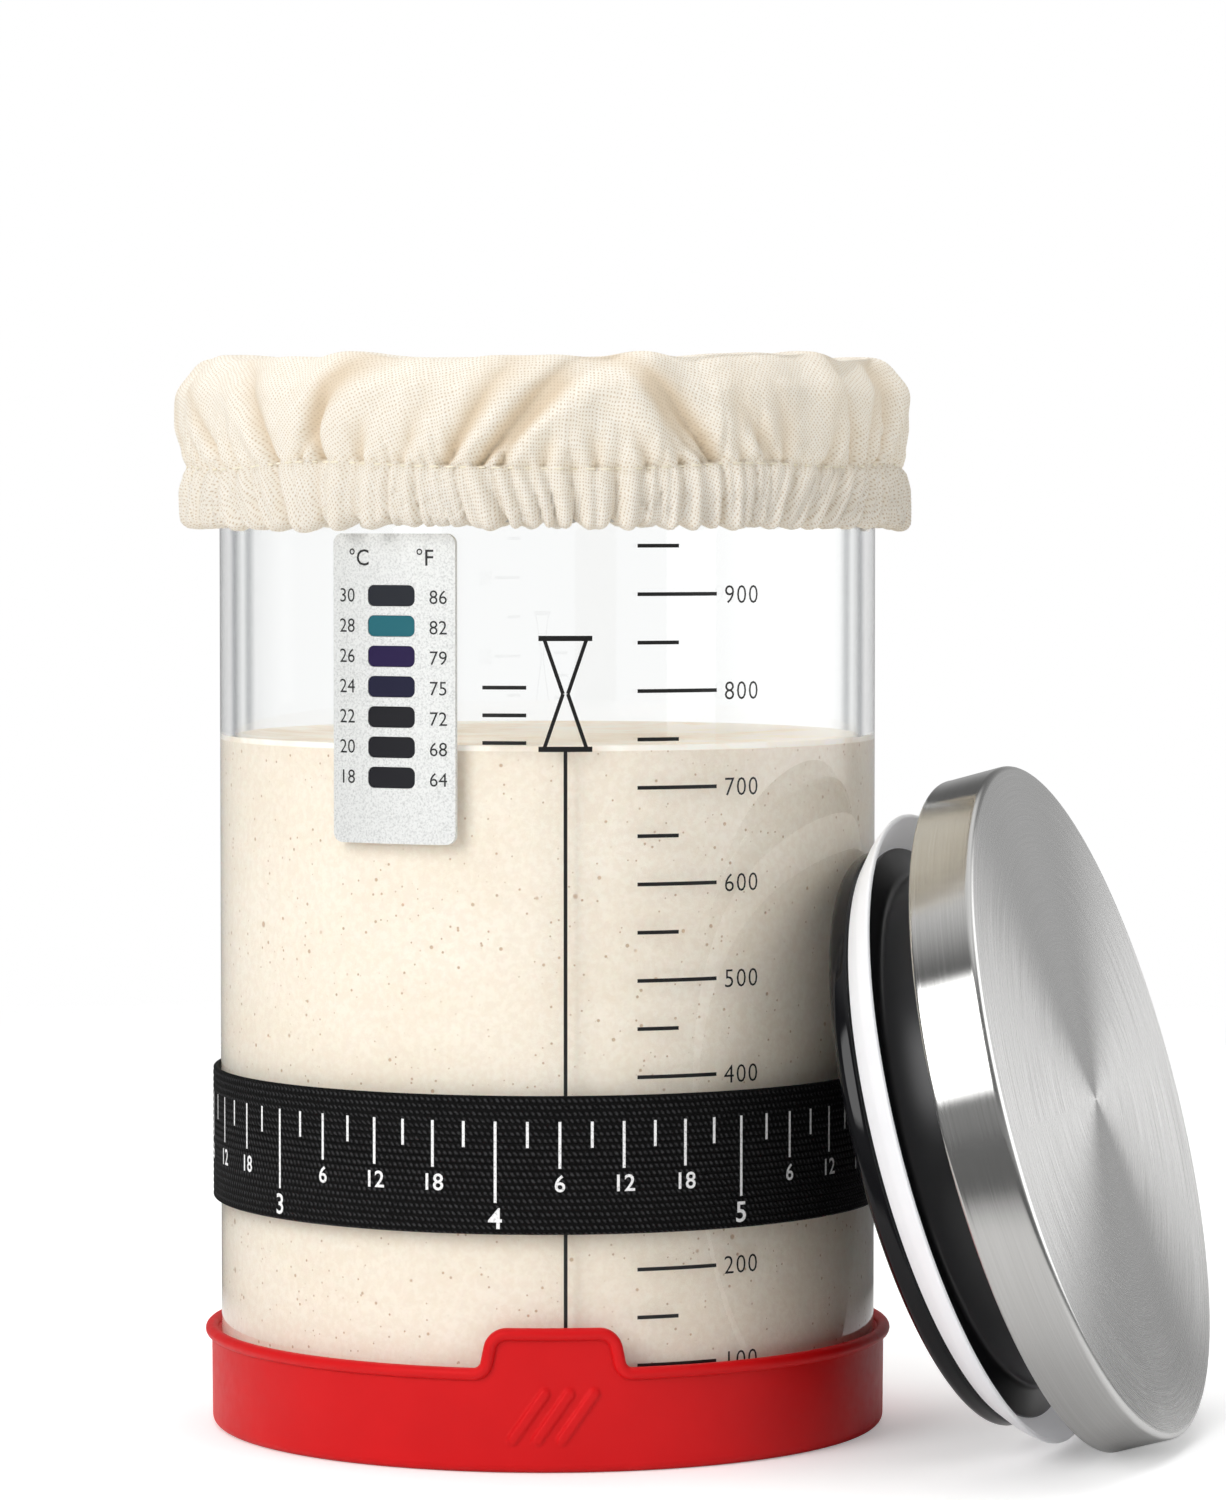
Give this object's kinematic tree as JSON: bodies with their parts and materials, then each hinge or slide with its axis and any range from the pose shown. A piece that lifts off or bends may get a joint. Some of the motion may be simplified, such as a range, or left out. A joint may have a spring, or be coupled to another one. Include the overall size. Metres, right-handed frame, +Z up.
{
  "type": "sourdough starter jar",
  "caption": "Straight glass jar of starter in a silicone boot, with sliding time band, strip thermometer and gathered cloth cover; its steel lid leans on the glass.",
  "frame": {"origin": "on the jar's axis, on the surface that the jar stands on", "axes": "+Z up along the jar's axis; the front with the tab and the printed scale faces -Y; the lid leans on the jar's +X side"},
  "size_m": [0.1576, 0.1319, 0.162],
  "materials": {
    "glass": "clear, smooth",
    "starter": "soft cream dough with fine brown specks",
    "adhesive": "clear film",
    "cells": "dark liquid crystal film, one cell teal",
    "strip_film": "silver satin film",
    "boot_silicone": "red silicone, satin",
    "band_weave": "black woven elastic",
    "band_thread": "black thread",
    "cover_linen": "cream linen, plain weave",
    "cover_elastic": "white elastic",
    "cover_thread": "cream thread",
    "lid_steel": "brushed in circles on the face",
    "plug_black": "black, satin",
    "seal_silicone": "translucent white silicone",
    "disc_black": "black, glossy"
  },
  "bodies": {
    "jar": {"glass_jar": "glass", "starter": "starter", "thermometer_adhesive": "adhesive", "thermometer_cells": "cells", "thermometer_strip": "strip_film"},
    "boot": {"base_boot": "boot_silicone"},
    "band": {"time_band": "band_weave", "band_stitching": "band_thread"},
    "cover": {"cover_cloth": "cover_linen", "cover_elastic": "cover_elastic", "cover_stitching": "cover_thread"},
    "lid": {"lid_cap": "lid_steel", "lid_plug": "plug_black", "lid_seal": "seal_silicone", "lid_disc": "disc_black"}
  },
  "joints": [
    {"name": "cover_lift", "type": "slide", "parent": "jar", "child": "cover", "axis": [0, 0, 1], "range_m": [0, 0.1]},
    {"name": "band_slide", "type": "slide", "parent": "jar", "child": "band", "axis": [0, 0, 1], "range_m": [-0.013, 0.023]},
    {"name": "boot_turn", "type": "hinge", "parent": "jar", "child": "boot", "pos_m": [0, 0, 0.005], "axis": [0, 0, 1], "continuous": true},
    {"name": "lid_tip", "type": "hinge", "parent": "jar", "child": "lid", "pos_m": [0.09295, -0.03074, 0.00196], "axis": [0.314, 0.9494, 0], "range_deg": [0, 105.4]}
  ]
}
